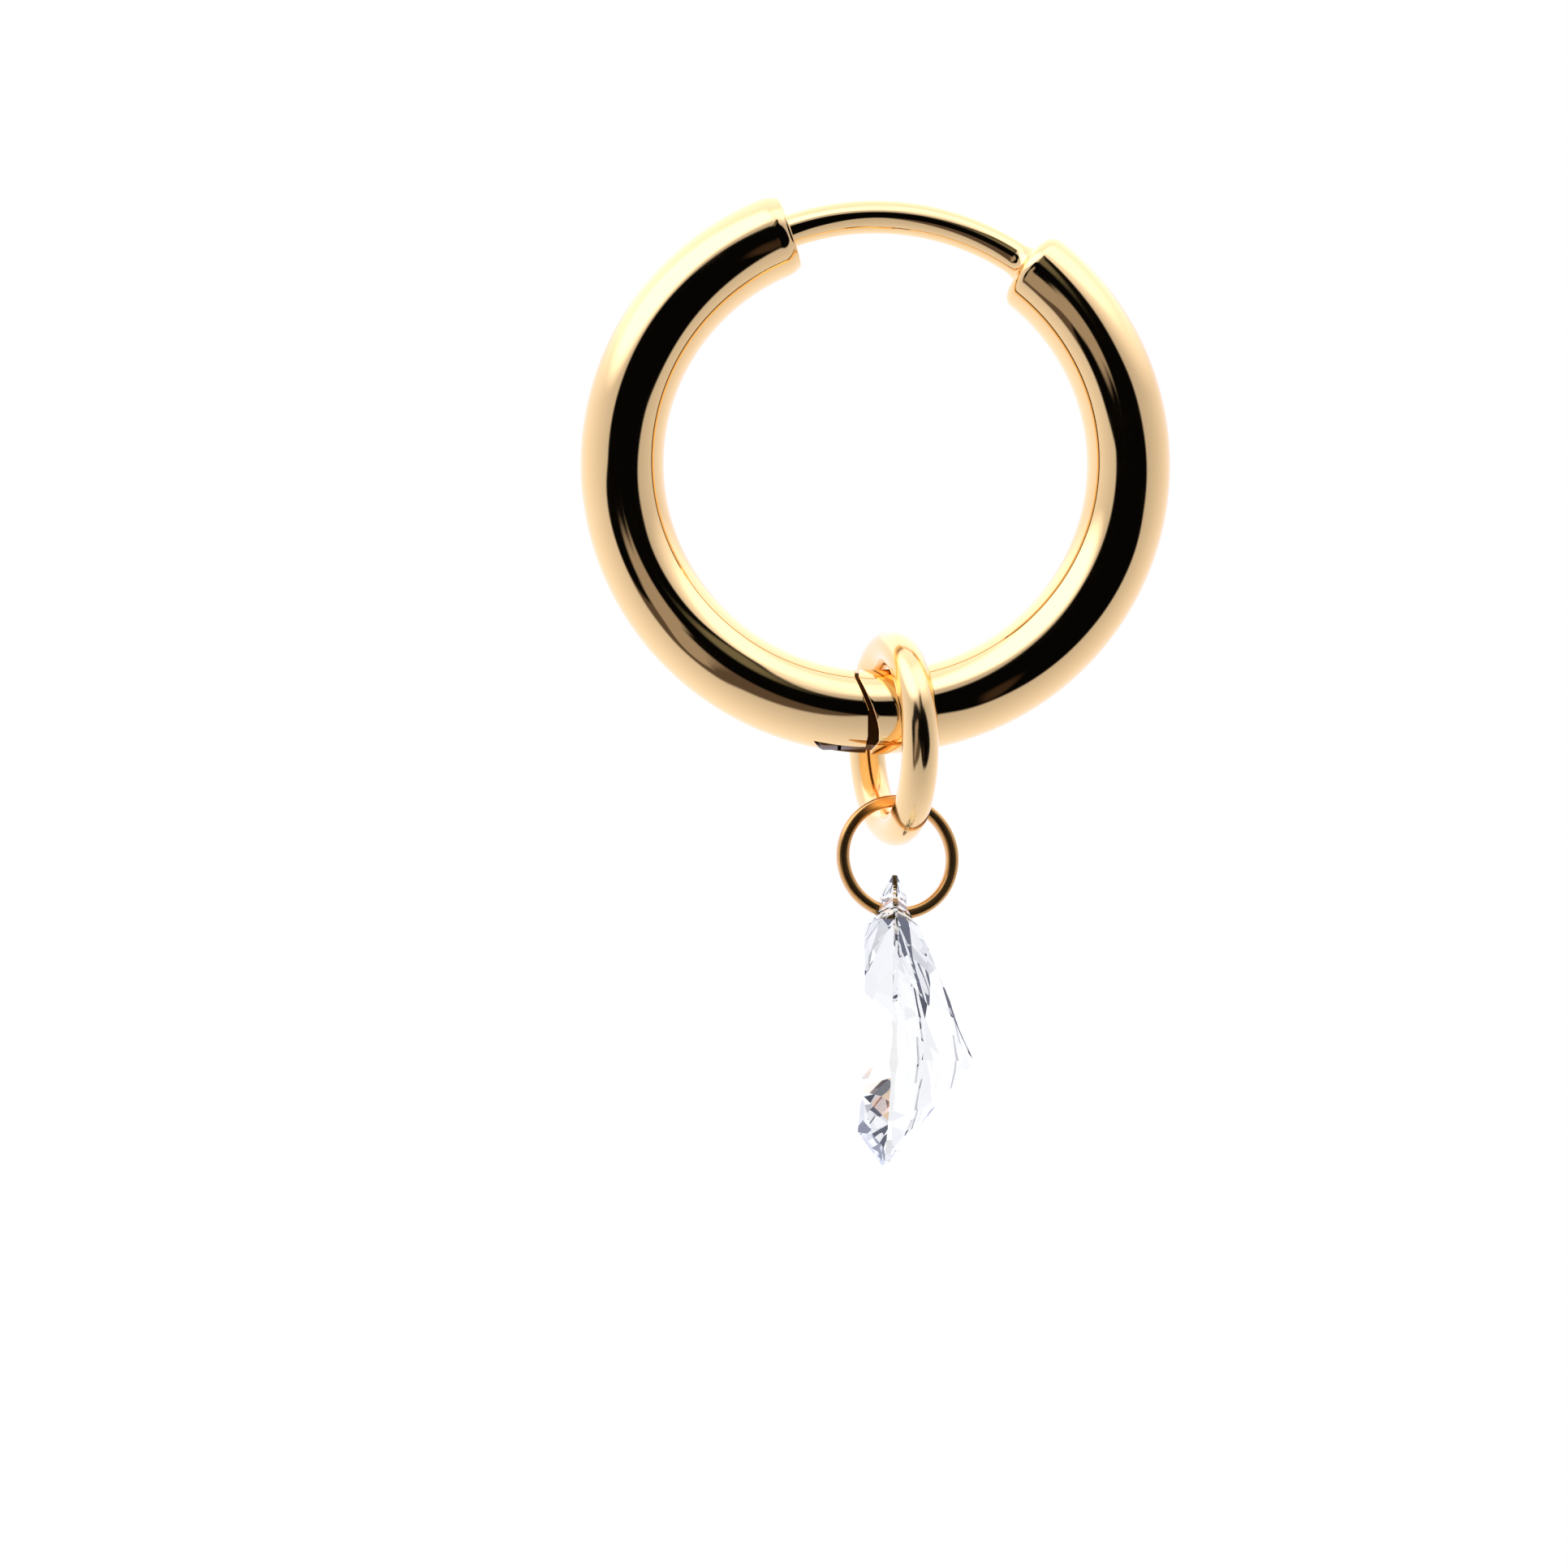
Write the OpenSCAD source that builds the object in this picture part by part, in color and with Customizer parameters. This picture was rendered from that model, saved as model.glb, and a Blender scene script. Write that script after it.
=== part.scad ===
// Hinged hoop earring with a pear cut drop on a link and a ring.
// Lengths are millimetres. The hoop stands in the XZ plane, and its front faces -Y.
// The origin is the middle of the ear post at the very top of the hoop.

/* [Hoop] */
// Outside diameter of the hoop
hoop_od = 14; // [12:0.5:20]
// Thickness of the round tube
tube_d = 2; // [1.8:0.1:2.6]
// Thickness of the tube's metal wall
tube_wall = 0.25; // [0.2:0.01:0.3]
// Angle round the hoop, from its right side, where the right tube ends
root_angle = 53; // [40:1:65]
// Angle round the hoop, from its right side, of the left tube's mouth
mouth_angle = 110; // [104:1:125]
// Rounding of the right tube's end, where the post leaves it
end_round = 0.3; // [0.2:0.05:0.4]
// Length over which the left tube's mouth draws in
mouth_taper = 0.4; // [0.3:0.05:0.6]
// How far the mouth draws in all round
mouth_draw = 0.12; // [0.05:0.01:0.15]
// Thickness of the metal that closes the left tube behind its mouth
mouth_cap = 0.35; // [0.3:0.05:0.5]

/* [Ear post] */
// Thickness of the ear post
post_d = 0.8; // [0.6:0.05:0.9]
// Length of the post inside the closed left tube
post_reach = 1; // [0.6:0.1:1.1]
// Length of the solder fillet at the post's foot
fillet_l = 0.35; // [0.2:0.05:0.5]
// How far the solder fillet stands out from the post
fillet_w = 0.2; // [0.1:0.02:0.25]
// Clearance round the post in the mouth
mouth_gap = 0.05; // [0.04:0.01:0.07]
// Extra depth of the mouth towards the hoop's middle, for the post's swing
mouth_slot = 0.3; // [0.28:0.01:0.34]

/* [Hinge] */
// Gap of the seam between the two halves
seam_gap = 0.1; // [0.08:0.01:0.14]
// Distance of the hinge pin to the left of the seam
pin_set = 0.95; // [0.8:0.01:1]
// Distance of the hinge pin outside the tube's middle line
pin_drop = 0.3; // [0.2:0.01:0.34]
// Diameter of the hinge pin
pin_d = 0.5; // [0.4:0.02:0.56]
// Clearance round the pin
pin_gap = 0.03; // [0.02:0.01:0.05]
// Metal left over each end of the pin
pin_skin = 0.06; // [0.04:0.01:0.08]
// Thickness of the tongue
tongue_t = 0.7; // [0.5:0.05:0.76]
// How far the tongue stays inside the tube's round
tongue_inset = 0.07; // [0.06:0.01:0.09]
// Length of the tongue inside the right tube
tongue_root = 1.5; // [1:0.1:2]
// Clearance of the tongue in the fork, on each side and round its end
fork_gap = 0.06; // [0.04:0.01:0.08]
// Length of the solid metal behind the fork
fork_plug = 0.5; // [0.3:0.1:1]
// Height of the flat filed on the fork's underside
fork_flat = 0.1; // [0.08:0.01:0.2]
// Width of the fork's relieved corner at the seam
relief_w = 0.2; // [0.16:0.01:0.3]
// Height of the fork's relieved corner at the seam
relief_h = 0.8; // [0.6:0.05:0.85]

/* [Charm link] */
// Outside diameter of the link
link_od = 5.1; // [4.6:0.1:6.5]
// Thickness of the link's wire
link_wire = 0.86; // [0.7:0.02:0.94]
// Distance of the link to the right of the seam
link_x = 0.5; // [0.4:0.05:1]
// Turn of the link about the vertical
link_yaw = 16; // [0:1:20]
// Clearance between hanging pieces
rest_gap = 0.04; // [0.03:0.01:0.06]

/* [Drop ring] */
// Outside diameter of the ring
ring_od = 2.95; // [2.7:0.05:3.6]
// Thickness of the ring's wire
ring_wire = 0.3; // [0.24:0.02:0.34]
// Turn of the ring about the vertical
ring_yaw = 15; // [0:1:18]

/* [Stone] */
// Length of the stone from its tip to its round end
stone_l = 6.8; // [6:0.1:10]
// Width of the stone
stone_w = 5; // [4.4:0.1:5.6]
// Height of the crown, from the girdle to the table
crown_h = 0.62; // [0.5:0.02:0.8]
// Depth of the pavilion, from the girdle to the culet
pavilion_h = 1.95; // [1.7:0.05:2.4]
// Thickness of the girdle
girdle_t = 0.1; // [0.06:0.02:0.16]
// Angle at which the stone's sides leave its round end
shoulder = 20; // [14:1:24]
// Diameter of the hole drilled through the stone
hole_d = 0.66; // [0.64:0.02:0.72]
// Distance of the hole's middle from the stone's tip
hole_set = 0.9; // [0.85:0.05:1.3]
// Turn of the stone about the vertical
stone_yaw = 2; // [-4:1:4]
// Lean of the stone's round end to the left
stone_lean = 2; // [0:0.5:4]
// Distance of the stone to the left of the ring's middle
stone_shift = 0.1; // [0:0.02:0.12]

/* [Hidden] */
$fn = 96;
GOLD = "#D9B26C";
CLEAR = "#E9EEF0";

tube_r = tube_d / 2;
hoop_r = hoop_od / 2 - tube_r;
cavity_r = tube_r - tube_wall;
post_r = post_d / 2;
bottom = 270;
past = 1;

// Angle round the hoop that a length along its middle line takes
function turn(length) = length / hoop_r * 180 / PI;
seam_turn = turn(seam_gap / 2);
mouth_hole_r = post_r + mouth_gap;

pin_x = -pin_set;
pin_z = -(hoop_r + pin_drop);
pin_hole_r = pin_d / 2 + pin_gap;
fork_t = tongue_t + 2 * fork_gap;
knuckle_r = tube_r - pin_drop - tongue_inset;
pocket_r = knuckle_r + fork_gap;
pin_hole_l = 2 * (sqrt(pow(tube_r, 2) - pow(pin_drop + pin_hole_r, 2)) - pin_skin);
pin_l = pin_hole_l - 2 * pin_gap;
fork_l = pin_set + pocket_r + fork_plug;

link_in_r = link_od / 2 - link_wire;
link_z = -sqrt(pow(hoop_r, 2) - pow(link_x, 2)) + tube_r + rest_gap - link_in_r;
ring_in_r = ring_od / 2 - ring_wire;
ring_z = link_z - link_in_r + rest_gap - ring_in_r;
ring_mid_r = (ring_od - ring_wire) / 2;
hole_z = ring_z - ring_mid_r;

// Places children on the tube's middle line, with +Z along the tube and +X away from the hoop's middle
module on_hoop(angle) {
    rotate([90, 0, 0]) rotate([0, 0, angle]) translate([hoop_r, 0, 0]) rotate([-90, 0, 0]) children();
}

// A round bar that follows the hoop's middle line between two angles
module hoop_bar(r, from, to) {
    rotate([90, 0, 0]) rotate([0, 0, from])
        rotate_extrude(angle = to - from)
            translate([hoop_r, 0]) circle(r = r);
}

// A flat bar that follows the hoop, between two distances from the hoop's middle
module hoop_plate(inner, outer, thick, from, to) {
    rotate([90, 0, 0]) rotate([0, 0, from])
        rotate_extrude(angle = to - from)
            translate([inner, -thick / 2]) square([outer - inner, thick]);
}

// A shaft across the hoop at the hinge
module across_hinge(r, length) {
    translate([pin_x, 0, pin_z]) rotate([90, 0, 0]) cylinder(r = r, h = length, center = true);
}

// A disc with a round edge, which closes the right tube
module round_end() {
    cylinder(r = tube_r - end_round, h = end_round);
    rotate_extrude() translate([tube_r - end_round, 0]) intersection() {
        circle(r = end_round);
        square(end_round * 2);
    }
}

// The ear post with its solder fillet and round tip
module ear_post() {
    tip_angle = mouth_angle + turn(post_reach - post_r);
    hoop_bar(post_r, root_angle - turn(end_round), tip_angle);
    on_hoop(tip_angle) sphere(r = post_r);
    on_hoop(root_angle) cylinder(r1 = post_r + fillet_w, r2 = post_r, h = fillet_l);
}

// The tongue, whose round end turns about the pin
module tongue() {
    difference() {
        union() {
            hoop_plate(hoop_r - tube_r + 2 * tongue_inset, hoop_r + tube_r - tongue_inset, tongue_t,
                       bottom - turn(pin_set), bottom + turn(tongue_root));
            across_hinge(knuckle_r, tongue_t);
        }
        across_hinge(pin_hole_r, tongue_t + past);
    }
}

module hoop_right() {
    tube_end = root_angle - turn(end_round);
    color(GOLD) translate([0, 0, -hoop_r]) {
        difference() {
            hoop_bar(tube_r, seam_turn - 90, tube_end);
            hoop_bar(cavity_r, -90 - turn(past), tube_end - turn(mouth_cap));
        }
        on_hoop(tube_end) round_end();
        ear_post();
        tongue();
    }
}

// The hole in the left tube's mouth, longer towards the hoop's middle
module mouth_hole() {
    depth = mouth_cap + past;
    on_hoop(mouth_angle) translate([0, 0, -past / 2]) linear_extrude(height = depth) {
        circle(r = mouth_hole_r);
        translate([-mouth_slot, 0]) circle(r = mouth_hole_r);
        translate([-mouth_slot, -mouth_hole_r]) square([mouth_slot, 2 * mouth_hole_r]);
    }
}

// The slot that makes the left tube's lower end a fork, with a round pocket for the tongue's end
module fork_slot() {
    across_hinge(pocket_r, fork_t);
    translate([pin_x, -fork_t / 2, -hoop_r - tube_r - past])
        cube([pin_set + past, fork_t, 2 * (tube_r + past)]);
}

// What is filed off below the fork, so that it clears the right tube as it opens
module fork_relief() {
    flat_z = -(hoop_r + tube_r - fork_flat);
    reach = fork_l + tube_d;
    low_z = flat_z - past;
    side_x = -seam_gap / 2;
    rotate([90, 0, 0]) linear_extrude(height = tube_d + past, center = true)
        polygon([[-reach, flat_z], [side_x - relief_w, flat_z], [side_x, flat_z + relief_h],
                 [past, flat_z + relief_h], [past, low_z], [-reach, low_z]]);
}

module hoop_left() {
    tube_start = mouth_angle + turn(mouth_taper);
    color(GOLD) translate([0, 0, -hoop_r]) difference() {
        union() {
            hoop_bar(tube_r, tube_start, bottom - seam_turn);
            on_hoop(tube_start) rotate([180, 0, 0])
                cylinder(r1 = tube_r, r2 = tube_r - mouth_draw, h = mouth_taper);
        }
        hoop_bar(cavity_r, mouth_angle + turn(mouth_cap), bottom - turn(fork_l));
        mouth_hole();
        fork_slot();
        fork_relief();
        across_hinge(pin_hole_r, pin_hole_l);
    }
}

module hinge_pin() {
    color(GOLD) translate([0, 0, -hoop_r]) across_hinge(pin_d / 2, pin_l);
}

// A round wire ring about Z
module wire_ring(od, wire) {
    rotate_extrude() translate([(od - wire) / 2, 0]) circle(d = wire);
}

module charm_link() {
    color(GOLD) translate([link_x, 0, link_z - hoop_r]) rotate([0, 90, link_yaw])
        wire_ring(link_od, link_wire);
}

module drop_ring() {
    color(GOLD) translate([link_x, 0, ring_z - hoop_r]) rotate([90, 0, ring_yaw])
        wire_ring(ring_od, ring_wire);
}

// The pear outline: a round end of stone_w, and two wide arcs from its shoulders to the tip.
// Heights are from the middle of the round end.
round_r = stone_w / 2;
tip_h = stone_l - round_r;
side_shift = (pow(tip_h, 2) - pow(round_r, 2)) / (2 * (round_r - tip_h * sin(shoulder)));
side_r = side_shift + round_r;
tip_turn = atan2(tip_h + side_shift * sin(shoulder), side_shift * cos(shoulder));

// A point of the right half of the outline: share 0 is the tip, 1 the middle of the round end.
// The first side_part of the way runs down the side arc, the rest round the end.
side_part = 0.5;
function side_point(s) =
    let (a = tip_turn + (shoulder - tip_turn) * s / side_part)
    [side_r * cos(a) - side_shift * cos(shoulder), side_r * sin(a) - side_shift * sin(shoulder)];
function end_point(s) =
    let (a = shoulder + (-90 - shoulder) * (s - side_part) / (1 - side_part))
    [round_r * cos(a), round_r * sin(a)];
function half_outline(s) = s < side_part ? side_point(s) : end_point(s);
// A point of the whole outline: share -1 to 1, negative on the left
function outline(s) = let (p = half_outline(abs(s))) [sign(s) * p[0], p[1]];

// Facet rings, as shares of the way round, of the outline's size and of the crown or pavilion
facet_steps = 8;
//            offset  size   height
table_ring  = [0,     0.70,  1];
crown_ring  = [0.5,   0.86,  0.52];
edge_ring   = [0,     1,     0];
lower_ring  = [0.5,   0.62,  0.42];
culet_ring  = [0,     0.02,  1];

function ring_points(ring, steps, base, height) =
    [for (i = [0 : steps - 1])
        let (p = outline(2 * (i + ring[0]) / steps - 1))
        [p[0] * ring[1], p[1] * ring[1], base + ring[2] * height]];

module cut_stone() {
    points = concat(ring_points(table_ring, facet_steps, girdle_t / 2, crown_h),
                    ring_points(crown_ring, facet_steps, girdle_t / 2, crown_h),
                    ring_points(edge_ring, 2 * facet_steps, girdle_t / 2, crown_h),
                    ring_points(edge_ring, 2 * facet_steps, -girdle_t / 2, -pavilion_h),
                    ring_points(lower_ring, facet_steps, -girdle_t / 2, -pavilion_h),
                    ring_points(culet_ring, facet_steps, -girdle_t / 2, -pavilion_h));
    hull() polyhedron(points, [[for (i = [0 : len(points) - 1]) i]]);
}

module pear_stone() {
    color(CLEAR) translate([link_x - stone_shift, 0, hole_z - hoop_r])
        rotate([0, 0, stone_yaw]) rotate([0, stone_lean, 0]) rotate([90, 0, -90])
            difference() {
                translate([0, hole_set - tip_h, 0]) cut_stone();
                cylinder(d = hole_d, h = 2 * (crown_h + pavilion_h), center = true);
            }
}

hoop_right();
hoop_left();
hinge_pin();
charm_link();
drop_ring();
pear_stone();
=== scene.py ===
"""Looks of a small hinged hoop earring that carries a pear cut stone on a link and a ring.

Shapes are worked out in millimetres in the row's frame, and a mesh is turned to metres once it is whole. The hoop
stands in the XZ plane, its front faces -Y, and the origin is the middle of the ear post.
"""

import itertools
import logging
from dataclasses import dataclass
from enum import Enum

import bpy
import numpy as np
from mathutils import Matrix, Vector


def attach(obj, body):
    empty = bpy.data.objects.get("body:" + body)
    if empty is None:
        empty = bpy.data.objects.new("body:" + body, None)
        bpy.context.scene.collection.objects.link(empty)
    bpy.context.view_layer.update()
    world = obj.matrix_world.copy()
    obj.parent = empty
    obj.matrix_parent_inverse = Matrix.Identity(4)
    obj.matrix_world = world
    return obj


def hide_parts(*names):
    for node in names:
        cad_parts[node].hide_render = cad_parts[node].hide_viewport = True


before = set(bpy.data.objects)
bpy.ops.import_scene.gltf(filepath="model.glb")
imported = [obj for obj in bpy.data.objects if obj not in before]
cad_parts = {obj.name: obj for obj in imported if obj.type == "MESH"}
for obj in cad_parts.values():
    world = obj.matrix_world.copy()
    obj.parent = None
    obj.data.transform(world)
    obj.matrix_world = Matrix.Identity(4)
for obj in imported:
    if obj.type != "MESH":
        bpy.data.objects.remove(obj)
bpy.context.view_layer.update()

MM = 0.001
LOG = logging.getLogger("earring")


class Slot(Enum):
    """The record's material slots."""

    GOLD = "gold"
    CRYSTAL = "crystal"


class Shading(Enum):
    """How a mesh is shaded: rounded up to its sharp edges, or face by face."""

    ROUNDED = "rounded"
    FLAT = "flat"


class Facing(Enum):
    """Which way a ring's opening faces before its own turn, as degrees about the vertical from the front."""

    FRONT = 0.0
    SIDE = 90.0


def linear(colour: str, level: float = 1.0) -> tuple[float, float, float, float]:
    """Turns an sRGB hex colour into the linear numbers that shaders use.

    Args:
        colour: The colour, as "#RRGGBB".
        level: What the linear colour is multiplied by.

    Returns:
        Linear red, green and blue, and an alpha of 1.
    """
    raw = np.array([int(colour[i:i + 2], 16) for i in (1, 3, 5)]) / 255
    red, green, blue = np.where(raw <= 0.04045, raw / 12.92, ((raw + 0.055) / 1.055) ** 2.4) * level
    return float(red), float(green), float(blue), 1.0


def add_node(tree: bpy.types.NodeTree, kind: str, settings: dict | None = None,
             inputs: dict | None = None) -> bpy.types.Node:
    """Adds one node to a tree, with its settings, and its inputs set or linked.

    Args:
        tree: The node tree.
        kind: The node's type name.
        settings: The node's properties and their values.
        inputs: Values, or output sockets to link, for the node's inputs by name or number.

    Returns:
        The new node.
    """
    node = tree.nodes.new(kind)
    for name, value in (settings or {}).items():
        setattr(node, name, value)
    for name, value in (inputs or {}).items():
        if isinstance(value, bpy.types.NodeSocket):
            tree.links.new(value, node.inputs[name])
        else:
            node.inputs[name].default_value = value
    return node


@dataclass(frozen=True)
class PolishedGold:
    """Gold filled brass, buffed to a mirror: warm, with white light at its rims and faint buffing marks.

    Real buffing marks are a few thousandths of a millimetre wide and would not show, so they are drawn coarser.
    """

    name: str = "polished gold filled brass"
    colour: str = "#FFD593"
    shine_low: float = 0.025
    shine_high: float = 0.07
    smear_mm: float = 1.1
    buff_mm: float = 0.09
    buff_height_mm: float = 0.00006

    def material(self) -> bpy.types.Material:
        """Builds the material. Its roughness wanders with smears, and its bump is a fine buffing grain.

        Returns:
            The material.
        """
        made = bpy.data.materials.new(self.name)
        made.use_nodes = True
        tree = made.node_tree
        shader = tree.nodes["Principled BSDF"]
        shader.inputs["Base Color"].default_value = linear(self.colour)
        shader.inputs["Metallic"].default_value = 1.0
        place = add_node(tree, "ShaderNodeTexCoord")
        smear = add_node(tree, "ShaderNodeTexNoise", None,
                         {"Vector": place.outputs["Object"], "Scale": 1 / (self.smear_mm * MM), "Detail": 4.0})
        shine = add_node(tree, "ShaderNodeMapRange", None,
                         {"Value": smear.outputs["Fac"], "From Min": 0.3, "From Max": 0.7,
                          "To Min": self.shine_low, "To Max": self.shine_high})
        tree.links.new(shine.outputs["Result"], shader.inputs["Roughness"])
        grain = add_node(tree, "ShaderNodeTexNoise", None,
                         {"Vector": place.outputs["Object"], "Scale": 1 / (self.buff_mm * MM), "Detail": 2.0})
        bump = add_node(tree, "ShaderNodeBump", None,
                        {"Height": grain.outputs["Fac"], "Strength": 0.5, "Distance": self.buff_height_mm * MM})
        tree.links.new(bump.outputs["Normal"], shader.inputs["Normal"])
        return made


@dataclass(frozen=True)
class CutCrystal:
    """Clear cubic zirconia, cut and polished: colourless, bright at its facets, dark where a facet mirrors."""

    colour: str = "#FDFDFE"
    bend: float = 1.7
    haze_low: float = 0.0
    haze_high: float = 0.012
    haze_mm: float = 0.8

    def material(self) -> bpy.types.Material:
        """Builds the material, with a trace of polishing haze that wanders over the facets.

        Returns:
            The material.
        """
        made = bpy.data.materials.new("cut and polished crystal")
        made.use_nodes = True
        tree = made.node_tree
        shader = tree.nodes["Principled BSDF"]
        shader.inputs["Base Color"].default_value = linear(self.colour)
        shader.inputs["Transmission Weight"].default_value = 1.0
        shader.inputs["IOR"].default_value = self.bend
        place = add_node(tree, "ShaderNodeTexCoord")
        haze = add_node(tree, "ShaderNodeTexNoise", None,
                        {"Vector": place.outputs["Object"], "Scale": 1 / (self.haze_mm * MM), "Detail": 3.0})
        rough = add_node(tree, "ShaderNodeMapRange", None,
                         {"Value": haze.outputs["Fac"], "From Min": 0.35, "From Max": 0.7,
                          "To Min": self.haze_low, "To Max": self.haze_high})
        tree.links.new(rough.outputs["Result"], shader.inputs["Roughness"])
        return made


def make_mesh(name: str, points: np.ndarray, faces: list) -> bpy.types.Object:
    """Makes an object of points and faces, in millimetres, with its faces turned outwards.

    The volume is the sum over the faces' triangles of the corner a times the cross product of b and c, over 6. Where
    it comes out negative, every face is turned round.

    Args:
        name: The object's name.
        points: The corners, one row each.
        faces: The faces, as lists of corner numbers.

    Returns:
        The object, in the scene.
    """
    mesh = bpy.data.meshes.new(name)
    mesh.from_pydata(points, [], faces)
    mesh.calc_loop_triangles()
    corners = np.zeros(3 * len(mesh.loop_triangles), np.int32)
    mesh.loop_triangles.foreach_get("vertices", corners)
    a, b, c = (points[corners.reshape(-1, 3)[:, i]] for i in range(3))
    if np.einsum("ij,ij->i", a, np.cross(b, c)).sum() < 0:
        mesh.flip_normals()
    thing = bpy.data.objects.new(name, mesh)
    bpy.context.scene.collection.objects.link(thing)
    return thing


def skin_faces(rings: int, around: int) -> list:
    """The faces of a skin whose rings are joined one to the next.

    Args:
        rings: How many rings there are.
        around: How many points each ring has.

    Returns:
        One four cornered face for each step along and round.
    """
    along, turn = np.meshgrid(np.arange(rings - 1), np.arange(around), indexing="ij")
    ahead = (turn + 1) % around
    corners = np.stack([along * around + turn, along * around + ahead,
                        (along + 1) * around + ahead, (along + 1) * around + turn], -1)
    return corners.reshape(-1, 4).tolist()


def closed_skin(name: str, rings: np.ndarray) -> bpy.types.Object:
    """Makes a solid from a stack of rings, with a point at the middle of each end ring that closes it.

    Args:
        name: The object's name.
        rings: The rings' points, as an array of rings by points by 3.

    Returns:
        The object.
    """
    count, around = rings.shape[:2]
    points = np.concatenate([rings.reshape(-1, 3), [rings[0].mean(0)], [rings[-1].mean(0)]])
    step = np.arange(around)
    ahead = (step + 1) % around
    last = (count - 1) * around
    start = np.stack([ahead, step, np.full(around, count * around)], -1)
    end = np.stack([last + step, last + ahead, np.full(around, count * around + 1)], -1)
    return make_mesh(name, points, skin_faces(count, around) + start.tolist() + end.tolist())


def prism(name: str, outline: np.ndarray, start: np.ndarray, along: np.ndarray) -> bpy.types.Object:
    """Makes a prism with an even outline.

    Args:
        name: The object's name.
        outline: The outline's points in space, in order.
        start: What is added to the outline for the near end.
        along: From the near end to the far end.

    Returns:
        The object.
    """
    count = len(outline)
    points = np.concatenate([outline + start, outline + start + along])
    ends = [list(range(count)), list(range(2 * count - 1, count - 1, -1))]
    return make_mesh(name, points, ends + [face[::-1] for face in skin_faces(2, count)])


def carve(body: bpy.types.Object, cutters: list[bpy.types.Object]) -> bpy.types.Object:
    """Cuts each cutter out of a body for good, then throws the cutters away.

    Args:
        body: The object that is cut.
        cutters: Closed objects.

    Returns:
        The body, with its new mesh.
    """
    for cutter in cutters:
        change = body.modifiers.new(cutter.name, "BOOLEAN")
        change.operation = "DIFFERENCE"
        change.solver = "EXACT"
        change.object = cutter
    graph = bpy.context.evaluated_depsgraph_get()
    carved = bpy.data.meshes.new_from_object(body.evaluated_get(graph))
    body.modifiers.clear()
    body.data = carved
    for cutter in cutters:
        bpy.data.objects.remove(cutter)
    return body


def finish_piece(thing: bpy.types.Object, material: bpy.types.Material, body: str,
                 node: str, shading: Shading = Shading.ROUNDED, sharp: float = 40.0) -> bpy.types.Object:
    """Turns a piece to metres, shades it, gives it its finish and puts it in its CAD node's place.

    Args:
        thing: The piece, in millimetres.
        material: The finish, where the piece has none yet.
        body: The CAD body that the piece moves with.
        node: The CAD node that the piece stands for.
        shading: How the mesh is shaded.
        sharp: The angle, in degrees, past which an edge is sharp.

    Returns:
        The piece.
    """
    mesh = thing.data
    mesh.transform(Matrix.Diagonal((MM, MM, MM, 1)))
    smooth = shading is Shading.ROUNDED
    mesh.polygons.foreach_set("use_smooth", [smooth] * len(mesh.polygons))
    if smooth:
        mesh.set_sharp_from_angle(angle=np.radians(sharp))
    if not mesh.materials:
        mesh.materials.append(material)
    mesh.update()
    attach(thing, body)
    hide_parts(node)
    LOG.info("%s: %d faces, rides on %s", thing.name, len(mesh.polygons), body)
    return thing


def arc(start: float, end: float, steps: int) -> np.ndarray:
    """Evenly spaced angles in radians, from two angles in degrees, with both ends."""
    return np.radians(np.linspace(start, end, steps + 1))


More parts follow.
